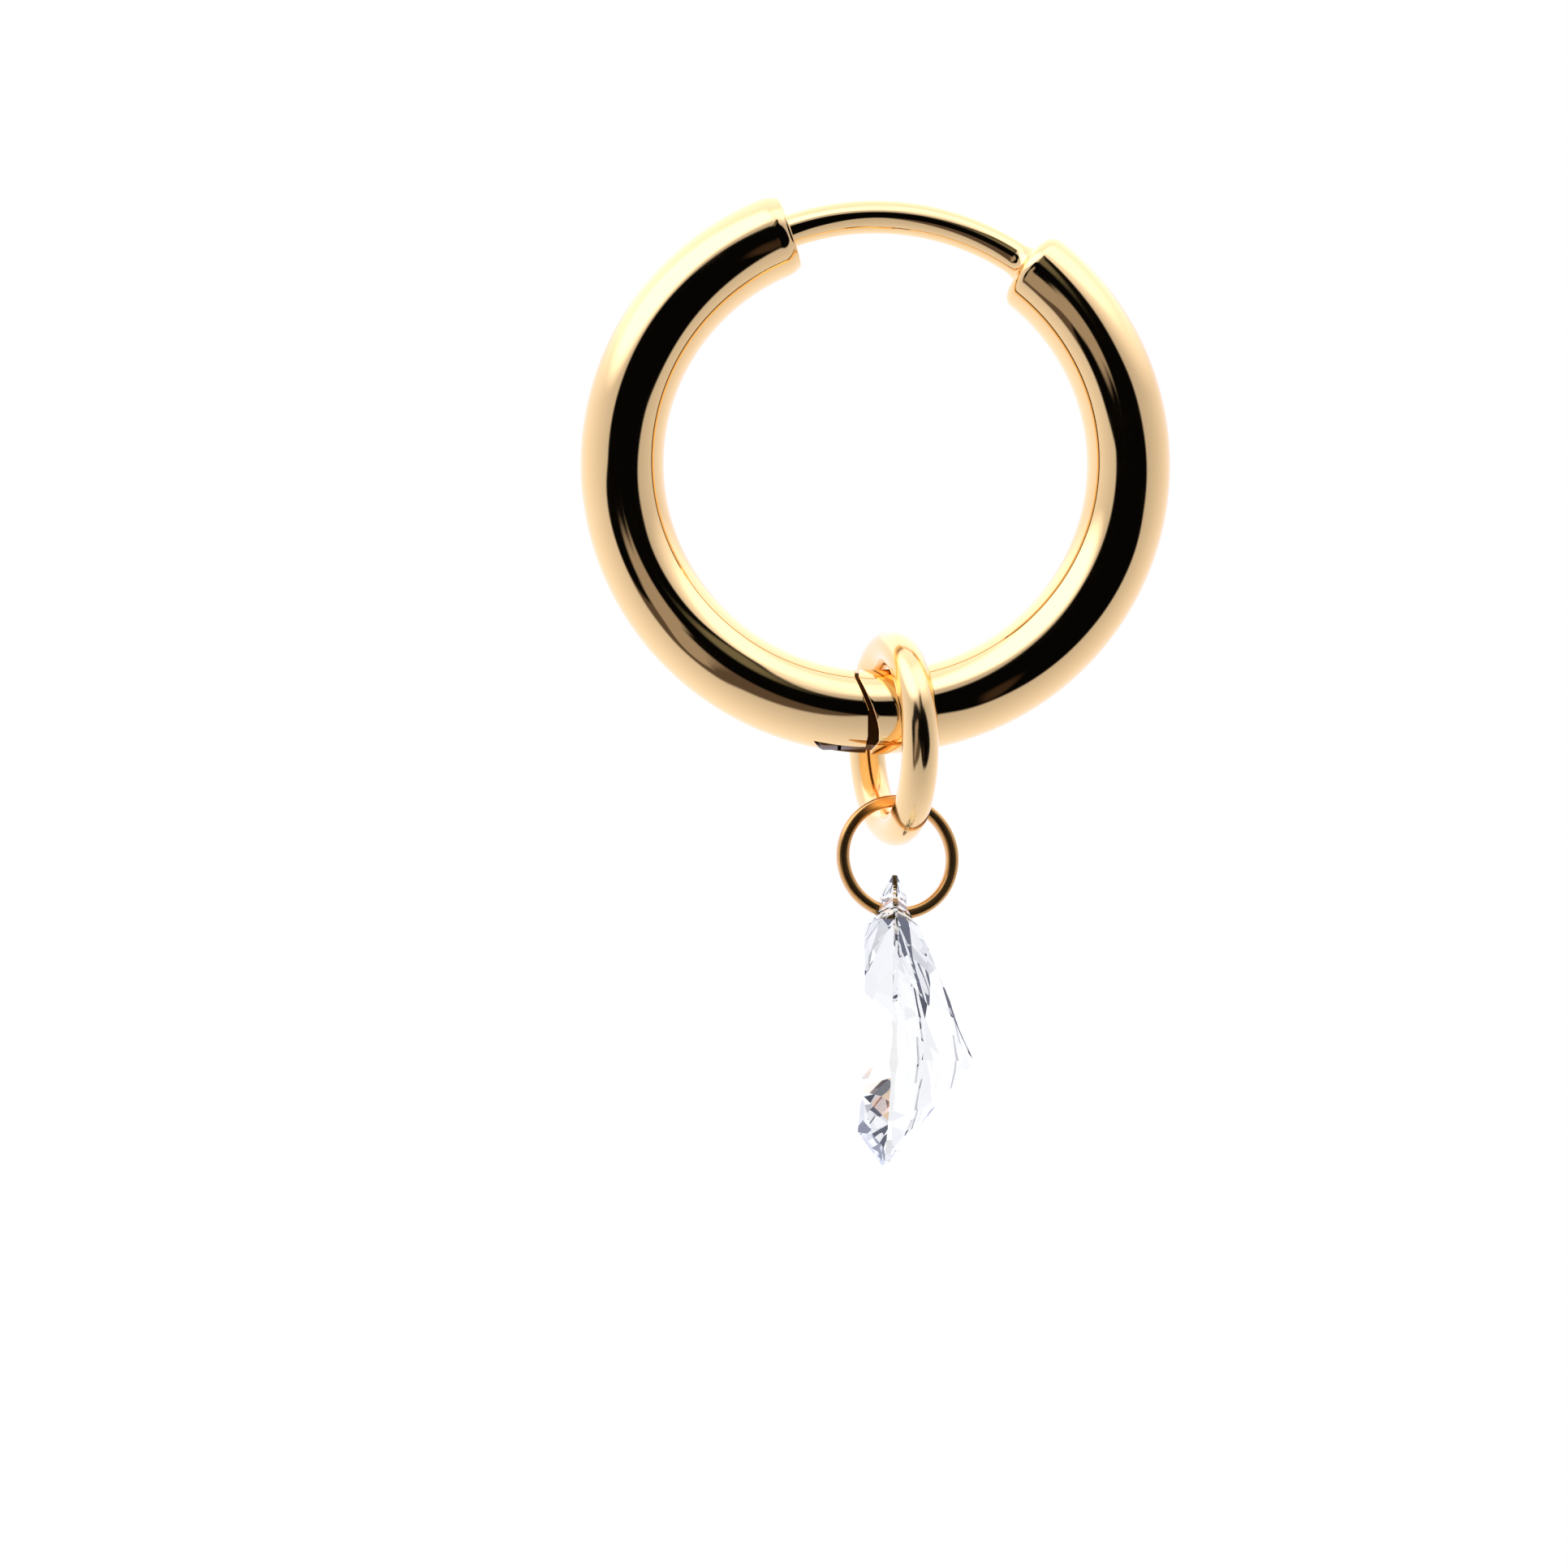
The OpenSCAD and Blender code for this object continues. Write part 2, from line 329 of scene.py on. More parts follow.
@dataclass(frozen=True)
class HoopLine:
    """The circle that the hoop's tube follows, and the bend of the seam at its bottom."""

    radius: float = 6.0
    tube_r: float = 1.0
    bottom: float = 270.0
    around: int = 96
    end_discs: tuple[float, float] = (0.3, 0.7)
    seam_bow: float = 0.54
    bow_from: float = -0.6
    bow_span: float = 1.3
    bow_power: float = 1.5
    seam_toe: float = 0.16
    toe_from: float = 0.8
    toe_span: float = 0.15
    seam_blend: float = 1.3

    def turn(self, length: float | np.ndarray) -> float | np.ndarray:
        """The angle in degrees that a length along the circle takes."""
        return np.degrees(length / self.radius)

    def place(self, angle: float | np.ndarray, out: float | np.ndarray, side: float | np.ndarray) -> np.ndarray:
        """Finds points beside the circle.

        A point is the circle's middle, plus the outward direction (cosine of the angle, 0, sine of the angle) times
        the radius and out, plus side along -Y.

        Args:
            angle: Degrees round the hoop, from its right side.
            out: Distance outside the circle.
            side: Distance towards the hoop's front.

        Returns:
            The points, with x, y and z last.
        """
        a, out, side = np.broadcast_arrays(np.radians(angle), out, side)
        reach = self.radius + out
        return np.stack([reach * np.cos(a), -side, reach * np.sin(a) - self.radius], -1)

    def skin(self, name: str, profile: np.ndarray, around: int = 0) -> bpy.types.Object:
        """Makes a round solid whose thickness changes along the circle.

        Ring i lies at the profile's angle i, and its points are the profile's radius i from the circle, at even
        steps round it.

        Args:
            name: The object's name.
            profile: Rows of an angle in degrees and a radius.
            around: How many points each ring has.

        Returns:
            The object.
        """
        step = np.linspace(0, 2 * np.pi, around or self.around, endpoint=False)
        angle, radius = profile[:, :1], profile[:, 1:]
        out, side = radius * np.cos(step), radius * np.sin(step)
        return closed_skin(name, self.place(self.bow(angle, out), out, side))

    def bow(self, angle: np.ndarray, out: np.ndarray) -> np.ndarray:
        """Bows the tube near the seam, so that both of the seam's ends bend to the left, on both halves alike.

        The shift is the bow times a power of the height inside the circle, from a low start to a high end, plus the
        toe's share at the very bottom. It fades out evenly over the blend's length on both sides.

        Args:
            angle: Degrees round the hoop.
            out: Distance outside the circle.

        Returns:
            The shifted angles.
        """
        angle = np.broadcast_to(angle, out.shape)
        rise = np.clip((-out / self.tube_r - self.bow_from) / self.bow_span, 0, 1)
        foot = np.clip((out / self.tube_r - self.toe_from) / self.toe_span, 0, 1)
        away = np.abs(np.where(angle < 0, angle + 360, angle) - self.bottom)
        near = np.clip(1 - away / self.turn(self.seam_blend), 0, 1)
        return angle - self.turn(self.seam_bow * rise ** self.bow_power + self.seam_toe * foot) * near


@dataclass(frozen=True)
class Hinge:
    """The sizes that the hoop's halves share where they meet."""

    pin_x: float = -0.95
    pin_drop: float = 0.3
    seam_gap: float = 0.1
    seam_round: float = 0.03

    def pin(self, line: HoopLine) -> np.ndarray:
        """The middle of the hinge pin."""
        return np.array([self.pin_x, 0.0, -2 * line.radius - self.pin_drop])


@dataclass
class RightHalf:
    """The right tube, with its ear post and hinge tongue soldered in."""

    line: HoopLine = HoopLine()
    hinge: Hinge = Hinge()
    root_angle: float = 53.0
    end_round: float = 0.3
    post_r: float = 0.4
    post_to: float = 110.0
    post_reach: float = 1.0
    fillet_l: float = 0.35
    fillet_w: float = 0.2
    tongue_t: float = 0.7
    tongue_inset: float = 0.07
    tongue_under: float = 0.15
    tongue_root: float = 0.3
    tongue_round: float = 0.04
    knuckle_arc: tuple[float, float] = (87.0, 282.0)
    knuckle_skip: float = 1.6

    def profile(self) -> np.ndarray:
        """The tube's and post's radius along the hoop, from the seam to the post's tip.

        In turn it is a small quarter round at the seam, the even tube, a quarter round at its end, a flat, a hollow
        quarter curve of solder down to the post, the even post, and half a ball at its tip.

        Returns:
            Rows of an angle in degrees and a radius.
        """
        line, edge = self.line, self.hinge.seam_round
        seam = line.turn(self.hinge.seam_gap / 2) + line.bottom - 360
        small = arc(0, 90, 5)
        lip = np.stack([seam + line.turn(edge * (1 - np.cos(small))),
                        line.tube_r - edge + edge * np.sin(small)], -1)
        body_end = self.root_angle - line.turn(self.end_round)
        tube = np.linspace(lip[-1, 0], body_end, 220)[1:-1]
        tube = np.stack([tube, np.full_like(tube, line.tube_r)], -1)
        big = arc(0, 90, 12)
        shoulder = np.stack([body_end + line.turn(self.end_round * np.sin(big)),
                             line.tube_r - self.end_round + self.end_round * np.cos(big)], -1)
        hollow = arc(0, 90, 10)
        solder = np.stack([self.root_angle + line.turn(self.fillet_l * (1 - np.cos(hollow))),
                           self.post_r + self.fillet_w * (1 - np.sin(hollow))], -1)
        tip_angle = self.post_to + line.turn(self.post_reach - self.post_r)
        post = np.linspace(solder[-1, 0], tip_angle, 70)[1:-1]
        post = np.stack([post, np.full_like(post, self.post_r)], -1)
        ball = arc(0, 88, 12)
        tip = np.stack([tip_angle + line.turn(self.post_r * np.sin(ball)), self.post_r * np.cos(ball)], -1)
        start = np.array([[seam, radius] for radius in line.end_discs])
        return np.concatenate([start, lip, tube, shoulder, solder, post, tip])

    def tongue(self) -> bpy.types.Object:
        """The hinge tongue: a flat plate along the hoop, with a round end about the pin and softened edges.

        Its outline is an arc at the tube's inner side, an arc at its outer side and the pin's round end between
        them, filed flat a little above the gate's underside. Copies of it, drawn in by the edge's rounding at both
        faces, make the skin.

        Returns:
            The object.
        """
        line, hinge = self.line, self.hinge
        inner = 2 * self.tongue_inset - line.tube_r
        outer = line.tube_r - self.tongue_inset
        knuckle = line.tube_r - hinge.pin_drop - self.tongue_inset
        start = line.bottom + line.turn(hinge.pin_x)
        end = line.bottom + line.turn(self.tongue_root)
        turn = arc(*self.knuckle_arc, 40)
        round_end = hinge.pin(line) + knuckle * np.stack([np.cos(turn), 0 * turn, np.sin(turn)], -1)
        outline = np.concatenate([line.place(np.linspace(end, start, 12), inner, 0.0), round_end,
                                  line.place(np.linspace(start + self.knuckle_skip, end, 12), outer, 0.0)])
        outline[:, 2] = np.maximum(outline[:, 2], self.tongue_under - 2 * line.radius - line.tube_r)
        middle = outline.mean(0)
        rim = arc(0, 90, 4)
        draw = self.tongue_round * (1 - np.sin(rim))
        depth = self.tongue_t / 2 - self.tongue_round * (1 - np.cos(rim))
        draw = np.concatenate([draw, draw[::-1]])
        depth = np.concatenate([depth, -depth[::-1]])
        away = (outline - middle) / np.linalg.norm(outline - middle, axis=1, keepdims=True)
        rings = outline[None] - away[None] * draw[:, None, None]
        rings[..., 1] -= depth[:, None]
        return closed_skin("hinge tongue", rings)

    def build(self, gold: bpy.types.Material, dark: bpy.types.Material) -> bpy.types.Object:
        """Builds the tube, the post and the tongue as one piece.

        Args:
            gold: The finish of the tube and the post.
            dark: The finish of the tongue, which no buff reaches, darkened as painted shade for the seam and the
                slot.

        Returns:
            The piece.
        """
        body = self.line.skin("right_tube_with_post", self.profile())
        plate = self.tongue()
        body.data.materials.append(gold)
        # The tongue takes the darkened gold that paints the shade in the seam and the slot.
        plate.data.materials.append(dark)
        with bpy.context.temp_override(active_object=body, selected_editable_objects=[body, plate]):
            bpy.ops.object.join()
        return finish_piece(body, gold, "right_half", "hoop_right")


@dataclass
class LeftHalf:
    """The gate: the left tube, with the mouth that takes the post and the fork that takes the tongue."""

    line: HoopLine = HoopLine()
    hinge: Hinge = Hinge()
    mouth_angle: float = 110.0
    mouth_taper: float = 0.4
    mouth_draw: float = 0.12
    mouth_round: float = 0.06
    mouth_rim: float = 0.85
    mouth_disc: float = 0.25
    mouth_cap: float = 0.35
    mouth_hole_r: float = 0.45
    mouth_slot: float = 0.3
    chamber_r: float = 0.75
    chamber_l: float = 1.4
    pin_hole_r: float = 0.28
    pin_hole_l: float = 1.5
    fork_t: float = 0.82
    pocket_r: float = 0.69
    flat_h: float = 0.1
    flat_from: float = -3.2
    flat_half_w: float = 1.6
    relief_w: float = 0.15
    relief_foot: float = 0.2
    relief_low: float = 0.2
    relief_high: float = 0.66
    relief_top: float = 1.3
    past: float = 0.6
    overlap: float = 0.05

    def profile(self) -> np.ndarray:
        """The tube's radius along the hoop, from the mouth to the seam.

        In turn it is the mouth's flat end, a small round, the arc that draws the mouth in and meets the tube
        without a step, the even tube, and a small quarter round at the seam.

        Returns:
            Rows of an angle in degrees and a radius.
        """
        line, edge = self.line, self.mouth_round
        bow = (self.mouth_taper ** 2 + self.mouth_draw ** 2) / (2 * self.mouth_draw)
        lean = np.degrees(np.arcsin((self.mouth_taper - edge) / bow))
        sweep = arc(lean, 0, 10)
        drawn = np.stack([self.mouth_angle + line.turn(self.mouth_taper - bow * np.sin(sweep)),
                          line.tube_r - bow * (1 - np.cos(sweep))], -1)
        rim = arc(0, 75, 6)
        rim_r = drawn[0, 1] - edge * self.mouth_rim
        lip = np.stack([self.mouth_angle + line.turn(edge * (1 - np.cos(rim))),
                        rim_r + edge * self.mouth_rim * np.sin(rim)], -1)
        seam = line.bottom - line.turn(self.hinge.seam_gap / 2)
        small = arc(90, 0, 5)
        seam_lip = np.stack([seam - line.turn(self.hinge.seam_round * (1 - np.cos(small))),
                             line.tube_r - self.hinge.seam_round * (1 - np.sin(small))], -1)
        tube = np.linspace(drawn[-1, 0], seam_lip[0, 0], 260)[1:-1]
        tube = np.stack([tube, np.full_like(tube, line.tube_r)], -1)
        start = np.array([[self.mouth_angle, self.mouth_disc]])
        end = np.array([[seam, radius] for radius in line.end_discs[::-1]])
        return np.concatenate([start, lip, drawn, tube, seam_lip, end])

    def mouth_cutters(self) -> list[bpy.types.Object]:
        """The mouth's slotted hole and the room behind it, which the post goes into.

        The hole's outline is a circle and a circle moved towards the hoop's middle, joined side by side, and it runs
        straight in along the tube. The room follows the hoop.

        Returns:
            The two cutters.
        """
        line, r = self.line, self.mouth_hole_r
        near = arc(-90, 90, 24)
        far = arc(90, 270, 24)
        across = np.concatenate([r * np.cos(near), r * np.cos(far) - self.mouth_slot])
        side = np.concatenate([r * np.sin(near), r * np.sin(far)])
        a = np.radians(self.mouth_angle)
        out = np.array([np.cos(a), 0, np.sin(a)])
        ahead = np.array([-np.sin(a), 0, np.cos(a)])
        middle = line.place(self.mouth_angle, 0.0, 0.0)
        outline = middle + across[:, None] * out + side[:, None] * np.array([0, -1, 0])
        hole = prism("mouth hole", outline, -self.past * ahead, (self.past + self.mouth_cap + self.overlap) * ahead)
        room_from = self.mouth_angle + line.turn(self.mouth_cap)
        room_to = room_from + line.turn(self.chamber_l)
        stops = np.linspace(room_from, room_to, 8)
        room = line.skin("mouth room", np.stack([stops, np.full_like(stops, self.chamber_r)], -1), 48)
        return [hole, room]

    def fork_cutters(self) -> list[bpy.types.Object]:
        """The fork's slot, its round pocket, the pin's hole and the filed underside.

        Returns:
            The four cutters.
        """
        line = self.line
        pin = self.hinge.pin(line)
        low = -2 * line.radius - line.tube_r
        high = -2 * line.radius + line.tube_r
        box = np.array([[pin[0], 0, low - self.past], [self.past, 0, low - self.past],
                        [self.past, 0, high + self.past], [pin[0], 0, high + self.past]])
        across = np.array([0, 1.0, 0])
        slot = prism("fork slot", box, -across * self.fork_t / 2, across * self.fork_t)
        turn = np.linspace(0, 2 * np.pi, 64, endpoint=False)
        circle = np.stack([np.cos(turn), 0 * turn, np.sin(turn)], -1)
        pocket = prism("fork pocket", pin + self.pocket_r * circle, -across * self.fork_t / 2, across * self.fork_t)
        hole = prism("pin hole", pin + self.pin_hole_r * circle,
                     -across * self.pin_hole_l / 2, across * self.pin_hole_l)
        flat = low + self.flat_h
        side = -self.hinge.seam_gap / 2
        under = low - self.past
        cut = side - self.relief_w
        edge = np.array([[self.flat_from, 0, flat], [side - self.relief_foot, 0, flat],
                         [cut, 0, flat + self.relief_low], [cut, 0, flat + self.relief_high],
                         [side, 0, flat + self.relief_top], [self.past, 0, flat + self.relief_top],
                         [self.past, 0, under], [self.flat_from, 0, under]])
        filed = prism("filed underside", edge, -across * self.flat_half_w, across * 2 * self.flat_half_w)
        return [slot, pocket, hole, filed]

    def build(self, gold: bpy.types.Material) -> bpy.types.Object:
        """Builds the gate.

        Args:
            gold: The finish.

        Returns:
            The piece.
        """
        body = self.line.skin("left_tube_gate", self.profile())
        carve(body, self.mouth_cutters() + self.fork_cutters())
        return finish_piece(body, gold, "gate", "hoop_left", sharp=30)


@dataclass
class HingePin:
    """The hinge pin, which keeps the CAD's solid, because its shape is right as it is."""

    node: str = "hinge_pin"

    def build(self, gold: bpy.types.Material) -> bpy.types.Object:
        """Gives the pin its finish.

        Args:
            gold: The finish.

        Returns:
            The pin.
        """
        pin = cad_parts[self.node]
        pin.data.materials.clear()
        pin.data.materials.append(gold)
        LOG.info("%s: kept, with the gold finish", self.node)
        return pin


@dataclass
class WireRing:
    """A wire bent to a closed ring."""

    name: str
    node: str
    body: str
    middle: tuple[float, float, float]
    outside: float
    wire: float
    facing: Facing
    yaw: float
    lean: float = 0.0
    squareness: float = 2.0
    along: int = 200
    around: int = 64

    def build(self, gold: bpy.types.Material) -> bpy.types.Object:
        """Builds the ring.

        A point lies at the ring's middle circle, plus the wire's radius times the cosine of the second angle
        outwards and its sine to the side, each to the power of 2 over the squareness, with its sign kept. A
        squareness of 2 gives a round wire. The ring's plane is then turned about the vertical, and leans about the
        Y axis, with its top to the left.

        Args:
            gold: The finish.

        Returns:
            The piece.
        """
        r = self.wire / 2
        turn, step = np.meshgrid(np.linspace(0, 2 * np.pi, self.along, endpoint=False),
                                 np.linspace(0, 2 * np.pi, self.around, endpoint=False), indexing="ij")
        out, side = (r * np.sign(way) * np.abs(way) ** (2 / self.squareness) for way in (np.cos(step), np.sin(step)))
        reach = self.outside / 2 - r + out
        flat, up = reach * np.cos(turn), reach * np.sin(turn)
        yaw = np.radians(self.yaw + self.facing.value)
        points = np.stack([flat * np.cos(yaw) - side * np.sin(yaw), flat * np.sin(yaw) + side * np.cos(yaw), up], -1)
        lean = np.array(Matrix.Rotation(np.radians(-self.lean), 3, "Y"))
        points = points.reshape(-1, 3) @ lean.T + np.array(self.middle)
        faces = skin_faces(self.along + 1, self.around)
        faces = (np.array(faces) % (self.along * self.around)).tolist()
        thing = make_mesh(self.name, points, faces)
        return finish_piece(thing, gold, self.body, self.node, sharp=60)


@dataclass
class PearStone:
    """The clear drop: a pear brilliant, drilled through near its tip."""

    length: float = 6.8
    width: float = 5.0
    crown_h: float = 0.62
    pavilion_h: float = 1.95
    girdle_t: float = 0.1
    shoulder: float = 20.0
    table_share: float = 0.70
    star_share: float = 0.86
    star_drop: float = 0.52
    lower_share: float = 0.62
    lower_drop: float = 0.42
    culet_cut: float = 0.03
    girdle_facets: int = 64
    heart: tuple[float, float, float] = (0.0, 0.2, -0.1)
    hole_r: float = 0.33
    hole_set: float = 0.9
    hole_at: tuple[float, float, float] = (0.4, 0.0, -16.77913)
    drill_half_l: float = 3.0
    yaw: float = 2.0
    lean: float = 2.0
    step: float = 1e-3
    parallel: float = 1e-7
    touch: float = 1e-6
    on_plane: float = 4e-4

    def outline(self, share: np.ndarray) -> np.ndarray:
        """The pear's outline, from the tip at share 0 to the middle of the round end at share 1 or -1.

        The first half of the way is a wide arc from the tip to the shoulder, the second a circle's arc. Both arcs
        share their direction at the shoulder.

        Args:
            share: How far round, negative on the left.

        Returns:
            Points across and up, from the middle of the round end.
        """
        round_r, tip = self.width / 2, self.length - self.width / 2
        lean = np.radians(self.shoulder)
        shift = (tip ** 2 - round_r ** 2) / (2 * (round_r - tip * np.sin(lean)))
        side_r = shift + round_r
        tip_turn = np.arctan2(tip + shift * np.sin(lean), shift * np.cos(lean))
        s = np.abs(share)
        a = tip_turn + (lean - tip_turn) * s * 2
        side = np.stack([side_r * np.cos(a) - shift * np.cos(lean), side_r * np.sin(a) - shift * np.sin(lean)], -1)
        b = lean + (-np.pi / 2 - lean) * (s * 2 - 1)
        end = round_r * np.stack([np.cos(b), np.sin(b)], -1)
        half = np.where((s < 0.5)[..., None], side, end)
        return half * np.stack([np.where(share < 0, -1.0, 1.0), np.ones_like(s)], -1)

    def ring(self, share: np.ndarray, size: float, height: float) -> np.ndarray:
        """Points of the outline at some shares, scaled about the round end's middle and lifted to a height."""
        flat = self.outline(share) * size
        return np.concatenate([flat, np.full((len(flat), 1), height)], 1)

    def through(self, a: np.ndarray, b: np.ndarray, c: np.ndarray) -> tuple[np.ndarray, np.ndarray]:
        """Finds the plane through three points, turned away from the stone's heart.

        Args:
            a: The first point.
            b: The second point.
            c: The third point.

        Returns:
            A point of the plane, and its direction outwards.
        """
        direction = np.cross(b - a, c - a)
        direction = direction / np.linalg.norm(direction)
        return a, direction if direction @ (a - self.heart) > 0 else -direction

    def at_girdle(self, share: float, height: float, other: np.ndarray) -> tuple[np.ndarray, np.ndarray]:
        """Finds the plane that touches the outline at one place and holds another point.

        Args:
            share: Where along the outline, from the tip at 0.
            height: The touching line's height.
            other: The other point.

        Returns:
            A point of the plane, and its direction outwards.
        """
        near = self.ring(np.array([share - self.step, share, share + self.step]), 1.0, height)
        along = near[2] - near[0]
        if abs(share) < self.touch or abs(share) > 1 - self.touch:
            along = np.array([1.0, 0, 0])
        return self.through(near[1], near[1] + along, other)

    def planes(self) -> np.ndarray:
        """The facets' planes: outward direction and distance, one row each.

        A facet that touches the girdle holds the outline's direction there and one more point. A star facet goes
        through two corners of the table and a point below their middle.

        Returns:
            Rows of x, y, z of the direction and the distance.
        """
        top, under = self.girdle_t / 2, -self.girdle_t / 2
        table = top + self.crown_h
        found = [(np.array([0, 0, table]), np.array([0, 0, 1.0]))]
        shares = np.arange(-3, 5) / 4
        between = shares - 0.125
        corners = self.ring(shares, self.table_share, table)
        stars = self.ring(between, self.star_share, top + self.star_drop * self.crown_h)
        lowers = self.ring(between, self.lower_share, under - self.lower_drop * self.pavilion_h)
        culet = np.array([0, 0, under - self.pavilion_h])
        for i, share in enumerate(shares):
            found.append(self.through(corners[i - 1], corners[i], stars[i]))
            found.append(self.at_girdle(share, top, corners[i]))
            found.append(self.at_girdle(share, under, culet))
            for part in (-0.1875, -0.0625):
                near = share + part if share + part > -1 else share + part + 2
                found.append(self.at_girdle(near, top, stars[i]))
                found.append(self.at_girdle(near, under, lowers[i]))
        found.append((culet + np.array([0, 0, self.culet_cut]), np.array([0, 0, -1.0])))
        for share in (np.arange(self.girdle_facets) + 0.5) * 2 / self.girdle_facets - 1:
            found.append(self.at_girdle(share, 0.0, self.ring(np.array([share]), 1.0, 1.0)[0]))
        point = np.array([p for p, _ in found])
        direction = np.array([d for _, d in found])
        return np.concatenate([direction, np.einsum("ij,ij->i", point, direction)[:, None]], 1)

    def cut(self) -> bpy.types.Object:
        """Cuts the stone: it is everything on the inner side of every plane.

        Each corner is where three planes meet and no other plane cuts it off, and each facet is the ring of corners
        on its plane, in the order of their angle about its middle.

        Returns:
            The stone, about its own round end's middle, with its table towards +Z.
        """
        rows = self.planes()
        direction, distance = rows[:, :3], rows[:, 3]
        trio = np.array(list(itertools.combinations(range(len(rows)), 3)))
        sides = direction[trio]
        sharp = np.abs(np.linalg.det(sides)) > self.parallel
        trio, sides = trio[sharp], sides[sharp]
        met = np.linalg.solve(sides, distance[trio][..., None])[..., 0]
        kept = met[(met @ direction.T <= distance + self.touch).all(1)]
        corners = np.unique(np.round(kept, 4), axis=0)
        faces = []
        for normal, reach in zip(direction, distance):
            on = np.nonzero(np.abs(corners @ normal - reach) < self.on_plane)[0]
            if len(on) < 3:
                continue
            away = corners[on] - corners[on].mean(0)
            first = np.cross(normal, [0.3, 0.5, 0.8])
            second = np.cross(normal, first)
            faces.append(on[np.argsort(np.arctan2(away @ second, away @ first))].tolist())
        return make_mesh("pear_cut_stone", corners, faces)

    def build(self, crystal: bpy.types.Material) -> bpy.types.Object:
        """Cuts and drills the stone, and hangs it by its hole.

        Args:
            crystal: The finish.

        Returns:
            The piece.
        """
        body = self.cut()
        tip = self.length - self.width / 2
        turn = np.linspace(0, 2 * np.pi, 48, endpoint=False)
        circle = self.hole_r * np.stack([np.cos(turn), np.sin(turn), 0 * turn], -1)
        half = np.array([0, 0, self.drill_half_l])
        drill = prism("drill", circle + np.array([0, tip - self.hole_set, 0]), -half, 2 * half)
        carve(body, [drill])
        hang = (Matrix.Translation(self.hole_at) @ Matrix.Rotation(np.radians(self.yaw), 4, "Z")
                @ Matrix.Rotation(np.radians(self.lean), 4, "Y") @ Matrix.Rotation(np.radians(-90), 4, "Z")
                @ Matrix.Rotation(np.radians(90), 4, "X") @ Matrix.Translation((0, self.hole_set - tip, 0)))
        body.data.transform(hang)
        return finish_piece(body, crystal, "stone", "pear_stone", Shading.FLAT)


@dataclass(frozen=True)
class Glow:
    """A soft edged oval in the surroundings. Angles are degrees: across from the front, up from level."""

    across: float
    up: float
    half_w: float
    half_h: float
    tilt: float
    soft: float
    colour: str
    level: float

    def share(self, tree: bpy.types.NodeTree, angles: bpy.types.NodeSocket) -> bpy.types.NodeSocket:
        """How much of the oval there is in a direction, by its distance in half widths and half heights.

        Args:
            tree: The surroundings' node tree.
            angles: The direction's angles across and up, in radians.

        Returns:
            A socket that is 1 inside the oval and 0 outside it.
        """
        spot = add_node(tree, "ShaderNodeMapping", {"vector_type": "TEXTURE"},
                        {"Vector": angles, "Location": tuple(np.radians([self.across, self.up, 0])),
                         "Rotation": (0, 0, np.radians(self.tilt)),
                         "Scale": (np.radians(self.half_w), np.radians(self.half_h), 1)})
        reach = add_node(tree, "ShaderNodeVectorMath", {"operation": "LENGTH"}, {0: spot.outputs[0]})
        fade = add_node(tree, "ShaderNodeMapRange", {"interpolation_type": "SMOOTHSTEP"},
                        {"Value": reach.outputs["Value"], "From Min": 1 + self.soft, "From Max": 1 - self.soft})
        return fade.outputs["Result"]


@dataclass(frozen=True)
class Shade:
    """A shape in the surroundings with a drawn edge. Angles are degrees.

    The edge has rows of a direction round the middle, from the right towards up, and the edge's distance that way.
    """

    across: float
    up: float
    edge: tuple[tuple[float, float], ...]
    soft: float
    colour: str
    level: float

    def share(self, tree: bpy.types.NodeTree, angles: bpy.types.NodeSocket) -> bpy.types.NodeSocket:
        """How much of the shape there is in a direction: its distance from the middle is set against the edge's.

        Args:
            tree: The surroundings' node tree.
            angles: The direction's angles across and up, in radians.

        Returns:
            A socket that is 1 inside the edge and 0 outside it.
        """
        rows = np.array(self.edge, float)
        turns = (rows[:, 0] + 180) % 360 / 360
        order = np.argsort(turns)
        turns, reaches = turns[order], rows[order, 1] / 90
        seam = float(np.interp(0, turns, reaches, period=1))
        spot = add_node(tree, "ShaderNodeVectorMath", {"operation": "SUBTRACT"},
                        {0: angles, 1: tuple(np.radians([self.across, self.up, 0]))})
        flat = add_node(tree, "ShaderNodeSeparateXYZ", None, {0: spot.outputs[0]})
        turn = add_node(tree, "ShaderNodeMath", {"operation": "ARCTAN2"},
                        {0: flat.outputs["Y"], 1: flat.outputs["X"]})
        part = add_node(tree, "ShaderNodeMapRange", None,
                        {"Value": turn.outputs[0], "From Min": -np.pi, "From Max": np.pi})
        drawn = add_node(tree, "ShaderNodeFloatCurve", None, {"Value": part.outputs["Result"]})
        curve = drawn.mapping.curves[0]
        curve.points[0].location = (0, seam)
        curve.points[1].location = (1, seam)
        for place, reach in zip(turns, reaches):
            curve.points.new(place, reach)
        for point in curve.points:
            point.handle_type = "AUTO_CLAMPED"
        drawn.mapping.update()
        length = add_node(tree, "ShaderNodeVectorMath", {"operation": "LENGTH"}, {0: spot.outputs[0]})
        past = add_node(tree, "ShaderNodeMath", {"operation": "MULTIPLY_ADD"},
                        {0: drawn.outputs[0], 1: -np.pi / 2, 2: length.outputs["Value"]})
        soft = np.radians(self.soft)
        fade = add_node(tree, "ShaderNodeMapRange", {"interpolation_type": "SMOOTHSTEP"},
                        {"Value": past.outputs[0], "From Min": soft, "From Max": -soft})
        return fade.outputs["Result"]


